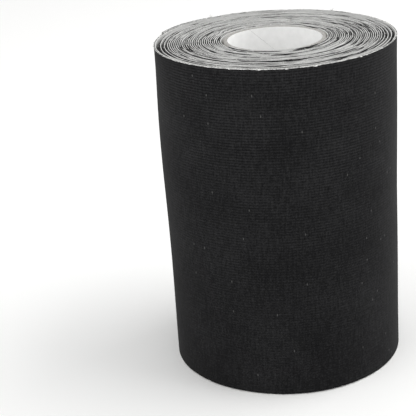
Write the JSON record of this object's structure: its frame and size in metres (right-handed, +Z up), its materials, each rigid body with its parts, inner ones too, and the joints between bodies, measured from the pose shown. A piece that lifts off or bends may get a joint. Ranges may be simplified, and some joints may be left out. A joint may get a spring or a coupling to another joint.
{
  "type": "elastic tape roll",
  "caption": "Wide roll of black elastic cotton tape on a paper release liner, wound on a spiral paper core, with a loose end that unrolls and a tip that peels off its liner.",
  "frame": {"origin": "on the core's axis, in the plane that the roll stands on", "axes": "+Z up along the core; the strip winds outward anticlockwise seen from +Z, and its loose end lies at the back (+Y); -Y is the side that faces the viewer"},
  "size_m": [0.0705, 0.0711, 0.1],
  "materials": {
    "cotton": "matt woven",
    "liner": "semi-matt siliconised",
    "white_paper": "matt",
    "grey_board": "matt",
    "facing_paper": "matt",
    "start_tape": "tacky",
    "adhesive": "tacky, laid in waves"
  },
  "bodies": {
    "roll": {"core_inner_ply": "white_paper", "core_board_ply": "grey_board", "core_outer_ply": "facing_paper", "start_tape": "start_tape", "wound_tape": "cotton", "wound_liner": "liner"},
    "tail_1": {"tape_link_1": "cotton", "liner_link_1": "liner"},
    "tail_2": {"tape_link_2": "cotton", "liner_link_2": "liner"},
    "tail_3": {"tape_link_3": "cotton", "liner_link_3": "liner"},
    "tail_4": {"tape_link_4": "cotton", "liner_link_4": "liner"},
    "tail_5": {"tape_link_5": "cotton", "liner_link_5": "liner"},
    "tail_6": {"tape_link_6": "cotton", "liner_link_6": "liner"},
    "peel_1": {"tape_tip_1": "cotton", "adhesive_tip_1": "adhesive"},
    "peel_2": {"tape_tip_2": "cotton", "adhesive_tip_2": "adhesive"},
    "peel_3": {"tape_tip_3": "cotton", "adhesive_tip_3": "adhesive"}
  },
  "joints": [
    {"name": "unroll_1", "type": "hinge", "parent": "roll", "child": "tail_1", "pos_m": [0.03087, 0.01731, 0.05], "axis": [0, 0, -1], "range_deg": [0, 18]},
    {"name": "unroll_2", "type": "hinge", "parent": "tail_1", "child": "tail_2", "pos_m": [0.02499, 0.02512, 0.05], "axis": [0, 0, -1], "range_deg": [0, 18]},
    {"name": "unroll_3", "type": "hinge", "parent": "tail_2", "child": "tail_3", "pos_m": [0.0172, 0.03103, 0.05], "axis": [0, 0, -1], "range_deg": [0, 18]},
    {"name": "unroll_4", "type": "hinge", "parent": "tail_3", "child": "tail_4", "pos_m": [0.00808, 0.03459, 0.05], "axis": [0, 0, -1], "range_deg": [0, 18]},
    {"name": "unroll_5", "type": "hinge", "parent": "tail_4", "child": "tail_5", "pos_m": [-0.00168, 0.03553, 0.05], "axis": [0, 0, -1], "range_deg": [0, 18]},
    {"name": "unroll_6", "type": "hinge", "parent": "tail_5", "child": "tail_6", "pos_m": [-0.01133, 0.03376, 0.05], "axis": [0, 0, -1], "range_deg": [0, 18]},
    {"name": "peel_1_hinge", "type": "hinge", "parent": "tail_6", "child": "peel_1", "pos_m": [-0.02027, 0.02959, 0.05], "axis": [0, 0, -1], "range_deg": [0, 50]},
    {"name": "peel_2_hinge", "type": "hinge", "parent": "peel_1", "child": "peel_2", "pos_m": [-0.02425, 0.02646, 0.05], "axis": [0, 0, -1], "range_deg": [0, 50]},
    {"name": "peel_3_hinge", "type": "hinge", "parent": "peel_2", "child": "peel_3", "pos_m": [-0.02775, 0.0228, 0.05], "axis": [0, 0, -1], "range_deg": [0, 50]}
  ],
  "couplings": [
    {"joint": "unroll_2", "follows": "unroll_1", "ratio": 1},
    {"joint": "unroll_3", "follows": "unroll_1", "ratio": 1},
    {"joint": "unroll_4", "follows": "unroll_1", "ratio": 1},
    {"joint": "unroll_5", "follows": "unroll_1", "ratio": 1},
    {"joint": "unroll_6", "follows": "unroll_1", "ratio": 1},
    {"joint": "peel_2_hinge", "follows": "peel_1_hinge", "ratio": 1},
    {"joint": "peel_3_hinge", "follows": "peel_1_hinge", "ratio": 1}
  ]
}
